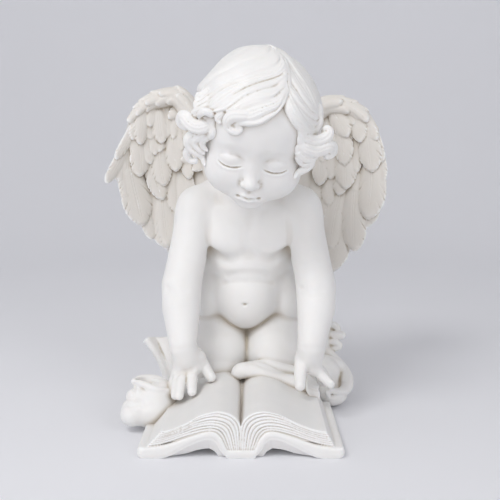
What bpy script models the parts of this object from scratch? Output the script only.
"""A kneeling cherub leaning on an open book: one cast solid, about 0.30 m tall.

The figure is worked out in millimetres in its own drawing frame and scaled to metres at the
end. +X is the viewer's right, +Y points away from the viewer and +Z is up; z = 0 is the
surface that the cast stands on. Each region (flesh, hands, head, hair, wings, book, cloth) is
a set of overlapping closed shapes. A voxel remesh fuses them into one skin, as in the mould,
and a collapse brings that skin down to a light faceted solid.
"""

import math

import bmesh
import bpy
import numpy as np
from mathutils import Euler, Matrix, Vector

# ---------------------------------------------------------------- driving dimensions, in mm
MM = 0.001
STATUE = "angel_statue"
FRAME_SHIFT = (-0.6, 6.0, 0.0)  # drawing frame to part frame: the box's base centre is (0, 0, 0)

BODY_X = 4.0  # the body's middle plane
HIP_HALF = 25.5  # from that plane to a thigh's centreline
SHOULDER_HALF = 44.5
SHOULDER_Z = 170.0

BOOK_X = -1.5  # the gutter
BOOK_HALF = 74.0
BOOK_FRONT = -130.0
BOOK_BACK = -32.0
BOOK_ARCH_DEPTH = 16.0  # how far the hollows under the covers run in from the front

HEAD_AT = (11.5, -55.0, 237.0)
HEAD_PITCH, HEAD_ROLL = 32.0, 8.0  # degrees: nods forward, leans to the viewer's right
SKULL = (44.0, 52.0, 46.0)
SKULL_CENTRE = (0.0, 2.0, 2.0)

WING_X = 0.0  # the wings' middle plane
WING_BACK = 66.0  # how far back the hollow of each wing lies
WING_HOLLOW_AT = 68.0  # distance from the middle where it is deepest
WING_CUP_IN, WING_CUP_OUT = 0.0105, 0.0062  # how fast it comes forward from there, per mm

DRAPE_Y = 52.0  # the middle of the cloth wrapped round the hips
DRAPE_HALF = (64.0, 60.0)
DRAPE_TOP = 62.0

SOFT_VOXEL = 1.6
SKIN_VOXEL = 1.5
FACET_BUDGET = 9700


# ---------------------------------------------------------------- scene and mesh helpers
def clear_scene():
    for obj in list(bpy.data.objects):
        bpy.data.objects.remove(obj)


def smooth_path(points, count):
    """count points along a Catmull-Rom curve through the given rows (any number of columns)."""
    rows = np.array(points, float)
    if len(rows) == 2:
        rows = np.array([rows[0], rows.mean(0), rows[1]])
    ends = [2 * rows[0] - rows[1], *rows, 2 * rows[-1] - rows[-2]]
    rows = np.array(ends)
    t = np.linspace(0, len(rows) - 3 - 1e-9, count)
    i = t.astype(int)
    f = (t - i)[:, None]
    a, b, c, d = rows[i], rows[i + 1], rows[i + 2], rows[i + 3]
    return 0.5 * (2 * b + (c - a) * f + (2 * a - 5 * b + 4 * c - d) * f**2 + (3 * b - a - 3 * c + d) * f**3)


def unit(v):
    return v / np.maximum(np.linalg.norm(v, axis=-1, keepdims=True), 1e-9)


def ball(bm, centre, radii, turn=(0, 0, 0)):
    """An ellipsoid; turn is in degrees about X, Y and Z."""
    euler = Euler([math.radians(a) for a in turn])
    size = radii if hasattr(radii, "__len__") else (radii,) * 3
    matrix = Matrix.LocRotScale(Vector(centre), euler, Vector(size))
    bmesh.ops.create_uvsphere(bm, u_segments=24, v_segments=14, radius=1, matrix=matrix)


def loft(bm, rings):
    """One closed skin over rings, an array (ring, point, xyz), with a cap at each end."""
    verts = [[bm.verts.new(p) for p in ring] for ring in rings]
    for low, high in zip(verts, verts[1:]):
        for k in range(len(low)):
            n = (k + 1) % len(low)
            bm.faces.new((low[k], low[n], high[n], high[k]))
    bm.faces.new(verts[0][::-1])
    bm.faces.new(verts[-1])


def ribbon(bm, path, half_width, half_thick, out, sides=12):
    """A swept ribbon: oval sections along path, their flat side turned to the direction out."""
    along = unit(np.gradient(path, axis=0))
    across = unit(np.cross(along, out))
    lift = unit(np.cross(across, along))
    angle = np.linspace(0, 2 * math.pi, sides, endpoint=False)
    wide = np.cos(angle)[None, :, None] * (np.asarray(half_width)[:, None] * across)[:, None]
    thick = np.sin(angle)[None, :, None] * (np.asarray(half_thick)[:, None] * lift)[:, None]
    loft(bm, path[:, None] + wide + thick)


def limb(bm, joints, count=14):
    """A round limb through (x, y, z, radius) joints, with a ball at each end."""
    rows = smooth_path(joints, count)
    out = np.tile((0.31, 0.22, 0.92), (count, 1))
    ribbon(bm, rows[:, :3], rows[:, 3], rows[:, 3], out, sides=20)
    for end in (rows[0], rows[-1]):
        ball(bm, end[:3], end[3])


def fused(bm, voxel, smoothing=0):
    """Everything in bm as one mesh skin; smoothing is a number of relaxing passes."""
    bmesh.ops.recalc_face_normals(bm, faces=bm.faces)
    mesh = bpy.data.meshes.new("raw")
    bm.to_mesh(mesh)
    bm.free()
    raw = bpy.data.objects.new("raw", mesh)
    bpy.context.scene.collection.objects.link(raw)
    remesh = raw.modifiers.new("fuse", "REMESH")
    remesh.mode = "VOXEL"
    remesh.voxel_size = voxel
    if smoothing:
        relax = raw.modifiers.new("relax", "SMOOTH")
        relax.factor = 0.5
        relax.iterations = smoothing
    done = bpy.data.meshes.new_from_object(raw.evaluated_get(bpy.context.evaluated_depsgraph_get()))
    bpy.data.objects.remove(raw)
    return done


def largest_body(bm):
    """Deletes all but the biggest connected skin, such as bubbles shut inside the cast."""
    left = set(bm.verts)
    bodies = []
    while left:
        found, edge = set(), [left.pop()]
        while edge:
            v = edge.pop()
            found.add(v)
            near = [e.other_vert(v) for e in v.link_edges]
            fresh = [n for n in near if n in left]
            left.difference_update(fresh)
            edge.extend(fresh)
        bodies.append(found)
    bodies.sort(key=len)
    small = [v for body in bodies[:-1] for v in body]
    bmesh.ops.delete(bm, geom=small, context="VERTS")


# ---------------------------------------------------------------- the figure
def both(half):
    """(side, x) for the two mirrored places at this distance from the body's middle plane."""
    return ((-1, BODY_X - half), (1, BODY_X + half))


def torso(bm):
    ball(bm, (BODY_X, 4, 148), (38, 30, 36), (-20, 0, 0))
    ball(bm, (BODY_X, 18, 140), (37, 24, 38), (-14, 0, 0))
    ball(bm, (BODY_X, 18, 106), (46, 31, 34))
    ball(bm, (BODY_X, 14, 88), (37, 35, 28))
    ball(bm, (BODY_X, 42, 62), (49, 38, 36))
    for _, x in both(29):
        ball(bm, (x, 0, 163), (21, 22, 19))
    limb(bm, [(BODY_X, 10, 168, 26), (BODY_X + 2, -6, 190, 21), (BODY_X + 5, -24, 212, 19)])
    for _, x in both(22):
        ball(bm, (x, 60, 42), (28, 27, 32))


def arm(bm, side):
    limb(bm, [
        (BODY_X + side * SHOULDER_HALF, 0, SHOULDER_Z, 19.5),
        (BODY_X + side * (SHOULDER_HALF + 5), -12, 143, 17),
        (BODY_X + side * (SHOULDER_HALF + 11), -30, 112, 17.2),
        (BODY_X + side * (SHOULDER_HALF + 10.5), -43, 92, 16.5),
        (BODY_X + side * (SHOULDER_HALF + 5), -60, 65, 11.5),
    ])


def leg(bm, side):
    x = BODY_X + side * HIP_HALF - 2
    limb(bm, [(x, 44, 50, 30), (x, 20, 46, 29), (x, -6, 33, 26)])
    limb(bm, [(x + side * 2, -4, 22, 21), (x + side * 8, 40, 20, 18), (x + side * 10, 74, 15, 13)])
    limb(bm, [(x + side * 10, 78, 13, 13), (x + side * 7, 100, 9, 9.5), (x + side * 5, 112, 7, 6.5)])


def upper_body():
    bm = bmesh.new()
    torso(bm)
    for side in (-1, 1):
        arm(bm, side)
    return fused(bm, SOFT_VOXEL, smoothing=7)


def legs():
    bm = bmesh.new()
    for side in (-1, 1):
        leg(bm, side)
    return fused(bm, SOFT_VOXEL, smoothing=5)


# Each finger's knuckle, middle joint and tip. The thumbs point to the book's gutter; the
# little finger on the viewer's right is curled out of sight.
FINGERS = [
    [(-42, -57, 43), (-40.5, -68, 39), (-39.9, -78, 31.5)],
    [(-48, -57, 41), (-49, -69, 37), (-49.8, -80, 29)],
    [(-53, -56, 39), (-54.5, -68, 35), (-54.8, -77, 28)],
    [(-56.5, -53, 37), (-58.5, -62, 34), (-58.5, -70, 28)],
    [(-36, -54, 52), (-31, -54, 43), (-26.5, -58, 37)],
    [(46, -58, 52), (44.5, -66, 43), (44.2, -71, 34)],
    [(55, -56, 45), (62, -59, 39), (69.5, -62, 32.5)],
    [(58, -50, 42), (65, -54, 33), (67.5, -58, 25)],
    [(60, -45, 40), (66, -48, 31), (67, -52, 22)],
]
FINGER_RADII = (4.4, 4.2, 3.7)


def hands():
    bm = bmesh.new()
    limb(bm, [(-45.5, -60, 65, 11), (-45.5, -60, 55, 12), (-46, -57, 47, 10)])
    ball(bm, (-47, -56, 46), (12.5, 8.5, 12), (20, 0, 0))
    limb(bm, [(53.5, -60, 66, 11), (53, -60, 56, 11.5), (53, -56, 47, 10.5)])
    ball(bm, (53, -54, 46), (11, 9.5, 12), (20, 0, 0))
    for joints in FINGERS:
        limb(bm, [(*p, r) for p, r in zip(joints, FINGER_RADII)], count=8)
    return fused(bm, 1.1, smoothing=3)


# ---------------------------------------------------------------- the head
def head_matrix():
    turn = Euler((math.radians(HEAD_PITCH), math.radians(HEAD_ROLL), 0))
    return Matrix.Translation(HEAD_AT) @ turn.to_matrix().to_4x4()


def head():
    """Skull, cheeks, nose and chin in the head's own frame, then set in place."""
    bm = bmesh.new()
    ball(bm, SKULL_CENTRE, SKULL)
    ball(bm, (0, -18, -18), (36, 31, 32))
    ball(bm, (0, -27, -36), (21, 20, 20))
    for side in (-1, 1):
        ball(bm, (side * 17, -30, -27), (17, 16, 18))
    ball(bm, (0, -49, -21), (5.5, 7, 8))
    ball(bm, (0, -46, -38), (10, 6, 7))
    mesh = fused(bm, SOFT_VOXEL, smoothing=4)
    mesh.transform(head_matrix())
    return mesh


# Locks of hair in the head's own frame, each from its root at the parting to its curled
# end: the route and the lock's half width.
LOCKS = [
    ([(-4, 28, 50), (-17, 24, 49), (-29, 15, 45), (-35, 5, 38), (-35, -9, 37)], 9),
    ([(4, 13, 54), (-2, -4, 54), (-18, -9, 50), (-32, -11, 39), (-43, -7, 24), (-50, 3, 12)], 9),
    ([(12, -4, 53), (6, -18, 50), (-11, -27, 44), (-29, -27, 33), (-38, -23, 22), (-37, -28, 15)], 8),
    ([(15, -16, 48), (9, -27, 45), (-5, -35, 39), (-16, -37, 32), (-24, -37, 24), (-24, -40, 17)], 7),
    ([(16, -22, 44), (15, -31, 40), (10, -38, 34), (2, -43, 28), (-7, -45, 24), (-14, -45, 23)], 6),
    ([(-14, -40, 29), (-23, -39, 26), (-26, -40, 20), (-23, -43, 16), (-17, -45, 17), (-15, -44, 21)], 3.6),
    ([(-20, 5, 50), (-39, 4, 37), (-49, 3, 24), (-52, -2, 18), (-50, -4, 12)], 7),
    ([(-31, -32, 23), (-38, -29, 9), (-47, -13, -3), (-56, -12, -2), (-60, -10, 4), (-56, -8, 9), (-52, -8, 5)], 5),
    ([(-32, -33, 17), (-36, -32, 5), (-46, -12, -9), (-52, -14, -13), (-50, -18, -19), (-44, -20, -22), (-38, -20, -27)], 5),
    ([(17, -27, 40), (21, -33, 33), (27, -35, 25), (36, -30, 20), (43, -21, 20), (46, -12, 24)], 5),
    ([(13, -3, 53), (20, -17, 46), (28, -22, 38), (37, -20, 30), (45, -12, 23)], 8),
    ([(2, 28, 51), (16, 18, 51), (27, 7, 47), (35, -1, 41), (42, -4, 33), (48, 2, 20), (50, 0, 10)], 9),
    ([(28, -33, 25), (34, -33, 16), (43, -23, 7), (51, -10, 0), (57, -8, 5)], 5),
    ([(29, -35, 20), (34, -34, 7), (45, -14, -8), (54, -12, -7), (61, -12, -2), (64, -14, -7), (60, -16, -12)], 5),
    ([(32, -36, 10), (36, -32, -3), (43, -18, -16), (50, -15, -14)], 4.5),
    ([(34, -34, -1), (36, -24, -18), (37, -24, -28), (32, -24, -34)], 4.5),
]
# The back of the head: tiers of locks from the crown, (count, where each ends in degrees
# from the crown, half width)
TIERS = [(9, 62, 9.0), (11, 88, 8.0), (12, 112, 7.0)]


def back_lock(turn, reach, wave):
    """A route down the skull at turn degrees round from the viewer's right, past the crown."""
    s = np.linspace(0, 1, 6)
    polar = np.radians(8 + (reach - 8) * s)
    around = math.radians(turn) + 0.16 * np.sin(5 * s + wave)
    size = np.array(SKULL) + 5 + 4 * s[:, None] ** 3
    ball_point = np.stack([np.sin(polar) * np.cos(around), np.sin(polar) * np.sin(around), np.cos(polar)], 1)
    return np.array(SKULL_CENTRE) + size * ball_point


def hair():
    """A cap over the skull, and the locks on it as swept ribbons with pinched ends."""
    bm = bmesh.new()
    ball(bm, (0, 10, 8), (46, 48, 46))
    count = 18
    swell = np.sin(np.linspace(0.5, math.pi - 0.35, count)) ** 0.7
    for route, half_width in LOCKS:
        path = smooth_path(route, count)
        ribbon(bm, path, half_width * swell, 4.6 * swell, path - np.array(SKULL_CENTRE))
    for tier, (number, reach, half_width) in enumerate(TIERS):
        for k in range(number):
            turn = -25 + 230 * (k + 0.5 * (tier % 2)) / (number - 1)
            path = smooth_path(back_lock(turn, reach, 1.7 * k), count)
            ribbon(bm, path, half_width * swell, 4.2 * swell, path - np.array(SKULL_CENTRE))
    mesh = fused(bm, SKIN_VOXEL, smoothing=1)
    mesh.transform(head_matrix())
    return mesh


# ---------------------------------------------------------------- the wings
def wing_depth(a, z):
    """Y of the wing's front at distance a from the middle and height z: it cups forward."""
    cup = np.where(a < WING_HOLLOW_AT, WING_CUP_IN, WING_CUP_OUT)
    return WING_BACK - cup * (a - WING_HOLLOW_AT) ** 2 - 0.0006 * (z - 190) ** 2


# Each wing has its bone's line and rows of feathers, all as (distance out, height). A row
# runs from a curve of roots to a curve of tips: roots, tips, count, feather width, layer.
WINGS = {
    -1: {
        "bone": [(14, 172), (34, 225), (64, 264), (94, 258), (112, 238)],
        "rows": [
            ([(24, 185), (50, 190), (84, 210), (108, 230)], [(58, 100), (78, 119), (98, 145), (127, 185)], 8, 19, 0),
            ([(24, 215), (52, 228), (80, 240), (108, 242)], [(40, 176), (72, 186), (97, 194), (122, 208)], 7, 18, 1),
            ([(30, 235), (55, 250), (80, 252), (106, 248)], [(50, 212), (76, 214), (97, 222), (116, 226)], 6, 17, 2),
        ],
    },
    1: {
        "bone": [(14, 172), (38, 222), (70, 255), (101, 251), (118, 230)],
        "rows": [
            ([(30, 180), (56, 185), (90, 205), (110, 224)], [(70, 90), (88, 105), (105, 122), (128, 168)], 8, 19, 0),
            ([(30, 210), (60, 222), (86, 232), (110, 234)], [(56, 168), (80, 172), (103, 180), (128, 196)], 7, 18, 1),
            ([(38, 228), (62, 242), (86, 246), (110, 242)], [(62, 205), (84, 204), (103, 208), (123, 216)], 6, 17, 2),
        ],
    },
}
FEATHER_THICK = 1.8


def on_wing(side, flat, lift=0.0):
    """Points on a wing's front for rows of (distance out, height), lifted towards the viewer."""
    a, z = np.asarray(flat, float).T
    return np.stack([WING_X + side * a, wing_depth(a, z) - lift, z], 1)


def feather(bm, root, tip, half_width, side, lift):
    t = np.linspace(0, 1, 9)
    path = on_wing(side, np.outer(1 - t, root) + np.outer(t, tip), lift)
    shape = (0.6 + 0.4 * np.sin(2.4 * t)) * np.sqrt(np.clip(1 - t**5, 0.03, 1))
    out = np.tile((0.0, -1.0, 0.0), (len(t), 1))
    ribbon(bm, path, half_width * shape, np.full(len(t), FEATHER_THICK), out, sides=10)


def wing(bm, side):
    plan = WINGS[side]
    bone = np.column_stack([on_wing(side, smooth_path(plan["bone"], 16), 3), np.linspace(13, 6, 16)])
    limb(bm, bone, 16)
    limb(bm, [(BODY_X + side * 15, 14, 146, 16), (BODY_X + side * 17, 26, 160, 15), tuple(bone[1])])
    roots, tips = plan["rows"][0][:2]
    rings = []
    for top, low in zip(smooth_path(plan["bone"], 24), 0.9 * smooth_path(tips, 24) + 0.1 * smooth_path(roots, 24)):
        front = on_wing(side, np.linspace(top, low, 14))
        rings.append(np.concatenate([front, front[::-1] + (0, 6, 0)]))
    loft(bm, rings)
    for roots, tips, count, width, layer in plan["rows"]:
        for root, tip in zip(smooth_path(roots, count), smooth_path(tips, count)):
            feather(bm, root, tip, width / 2, side, 1.2 + 1.8 * layer)
            feather(bm, root, tip, width / 2, side, -7.0 - 1.5 * layer)


def wings():
    bm = bmesh.new()
    for side in (-1, 1):
        wing(bm, side)
    return fused(bm, SKIN_VOXEL, smoothing=1)


# ---------------------------------------------------------------- the book
# Half profiles as (distance from the gutter, height), seen from the front
PAGE_TOP = [(0, 22), (3, 27), (8, 32), (17, 34.3), (28, 31.4), (39, 25.6), (50, 21), (59, 18.8)]
PAGE_EDGE = (68.5, 9.5)
COVER_TOP = [(0, 7.5), (11, 8.5), (15, 16.5), (20, 19.8), (26, 19.6), (38, 15.7), (52, 10.7), (66, 8.5), (74, 8.5)]
COVER_UNDER = [(0, 0), (9.5, 0), (13, 4), (17, 10), (22, 13.5), (28, 13.2), (38, 9), (50, 2.2), (57, 0), (74, 0)]


def slab(bm, top, under, side, front, back):
    """What lies between two half profiles, drawn out along Y."""
    outline = [(BOOK_X + side * x, z) for x, z in [*top, *under[::-1]]]
    loft(bm, [[(x, y, z) for x, z in outline] for y in (front, back)])


def book():
    bm = bmesh.new()
    page_top = smooth_path(PAGE_TOP, 26)
    cover_top = smooth_path(COVER_TOP, 30)
    for side in (-1, 1):
        page_under = np.vstack([cover_top[:24] - (0, 2), [PAGE_EDGE]])
        slab(bm, page_top, page_under, side, BOOK_FRONT + 1.5, BOOK_BACK)
        slab(bm, cover_top, np.array(COVER_UNDER), side, BOOK_FRONT, BOOK_BACK)
        floor = np.array([(0, 0), (BOOK_HALF, 0)])
        slab(bm, cover_top, floor, side, BOOK_FRONT + BOOK_ARCH_DEPTH, BOOK_BACK)
    return fused(bm, 1.2)


# ---------------------------------------------------------------- the cloth
def left_bundle(bm):
    """The gathered end beside the book, with a rolled rim."""
    ball(bm, (-75, -66, 18), (19, 22, 20))
    ball(bm, (-86, -78, 12), (11, 12, 12))
    ball(bm, (-84, -70, 25), (9, 10, 9))
    limb(bm, [(-83, -68, 35, 4), (-72, -54, 41, 3.6), (-62, -50, 37, 4), (-56, -54, 29, 4.5)])
    limb(bm, [(-83, -68, 35, 4), (-75, -77, 32, 4), (-64, -72, 28, 4.5), (-57, -62, 26, 5)])


def left_flare(bm):
    """The end that stands up behind the arm, opening outwards."""
    limb(bm, [(-54, -14, 8, 8), (-64, -4, 26, 8), (-78, 4, 46, 7), (-85, 4, 53, 4)])
    limb(bm, [(-52, 4, 12, 14), (-58, 10, 30, 14), (-68, 12, 50, 9), (-70, 12, 58, 5)])


def right_loop(bm):
    """The loop that hangs beside the viewer's right knee, and the ruffles above it."""
    limb(bm, [(78, 26, 36, 5), (86, 12, 30, 6.5), (92, -4, 23, 7.5), (91, -16, 14, 8), (80, -26, 10, 8.5), (68, -36, 14, 7)], 20)
    ball(bm, (70, -6, 22), (15, 18, 18))
    ball(bm, (78, -20, 6), (14, 16, 10))
    for x, z in ((79, 61), (88, 51), (85, 41)):
        limb(bm, [(64, 24, z + 2, 8), (x - 6, 26, z + 2, 6), (x, 25, z, 4.5)], 8)
    ball(bm, (66, 26, 28), (16, 20, 26))


def knee_roll(bm):
    """The twisted roll across the viewer's right knee, at the back of the pages."""
    limb(bm, [(-6, -35, 33, 2), (4, -36, 36, 6), (18, -36, 38, 8), (32, -37, 35, 8.5), (48, -38, 31, 9)], 16)
    limb(bm, [(8, -30, 43, 3), (22, -29, 45, 4), (38, -30, 41, 5), (50, -32, 36, 5)], 12)


def back_drape(bm):
    """The cloth wrapped round the hips behind, over the feet, in upright folds."""
    turn = np.linspace(0, 2 * math.pi, 80, endpoint=False)
    rings = []
    for z in np.linspace(0, DRAPE_TOP, 10):
        share = z / DRAPE_TOP
        fold = 1 + 0.045 * (1 - 0.6 * share) * np.sin(11 * turn + 1.5 * np.sin(2 * turn))
        x, y = DRAPE_HALF[0] * np.cos(turn), DRAPE_HALF[1] * np.sin(turn)
        out = (1 - 0.15 * share**2) * fold
        rings.append(np.stack([BODY_X + x * out, DRAPE_Y + y * out, 0 * turn + z], 1))
    loft(bm, rings)
    limb(bm, [(-64, 10, 50, 6), (-56, 52, 60, 6.5), (-34, 88, 64, 7), (4, 104, 60, 7.5),
              (40, 88, 63, 7), (62, 56, 60, 6.5), (76, 26, 54, 6)], 44)


def cloth():
    bm = bmesh.new()
    for piece in (left_bundle, left_flare, right_loop, knee_roll, back_drape):
        piece(bm)
    return fused(bm, SKIN_VOXEL, smoothing=2)


# ---------------------------------------------------------------- the cast
def bare_object(mesh, target):
    obj = bpy.data.objects.new(mesh.name, mesh)
    target.objects.link(obj)
    return obj


def lightened(mesh, facets):
    """The mesh collapsed to about this many triangles."""
    obj = bare_object(mesh, bpy.context.scene.collection)
    collapse = obj.modifiers.new("collapse", "DECIMATE")
    collapse.ratio = facets / sum(len(p.vertices) - 2 for p in mesh.polygons)
    done = bpy.data.meshes.new_from_object(obj.evaluated_get(bpy.context.evaluated_depsgraph_get()))
    bpy.data.objects.remove(obj)
    return done


def stand_flat(bm):
    """Cuts away what lies under z = 0 and closes the cut, so that the cast stands flat."""
    geom = [*bm.verts, *bm.edges, *bm.faces]
    bmesh.ops.bisect_plane(bm, geom=geom, dist=1e-4, plane_co=(0, 0, 0), plane_no=(0, 0, 1), clear_inner=True)
    rim = [e for e in bm.edges if e.is_boundary]
    bmesh.ops.holes_fill(bm, edges=rim)
    bmesh.ops.triangulate(bm, faces=bm.faces)


def resin():
    material = bpy.data.materials.new("white_resin")
    material.use_nodes = True
    shader = material.node_tree.nodes["Principled BSDF"]
    shader.inputs["Base Color"].default_value = (0.86, 0.85, 0.82, 1)
    shader.inputs["Roughness"].default_value = 0.5
    shader.inputs["Metallic"].default_value = 0.0
    return material


def angel_statue(parts):
    bm = bmesh.new()
    for region in (upper_body, legs, hands, head, hair, wings, book, cloth):
        mesh = region()
        bm.from_mesh(mesh)
        bpy.data.meshes.remove(mesh)
    cast = bmesh.new()
    cast.from_mesh(lightened(fused(bm, SKIN_VOXEL), FACET_BUDGET))
    stand_flat(cast)
    largest_body(cast)
    mesh = bpy.data.meshes.new(STATUE)
    cast.to_mesh(mesh)
    cast.free()
    mesh.transform(Matrix.Scale(MM, 4) @ Matrix.Translation(FRAME_SHIFT))
    mesh.materials.append(resin())
    mesh.shade_smooth()
    return bare_object(mesh, parts)


def main():
    clear_scene()
    parts = bpy.data.collections.new("kneeling_cherub")
    bpy.context.scene.collection.children.link(parts)
    angel_statue(parts)


main()
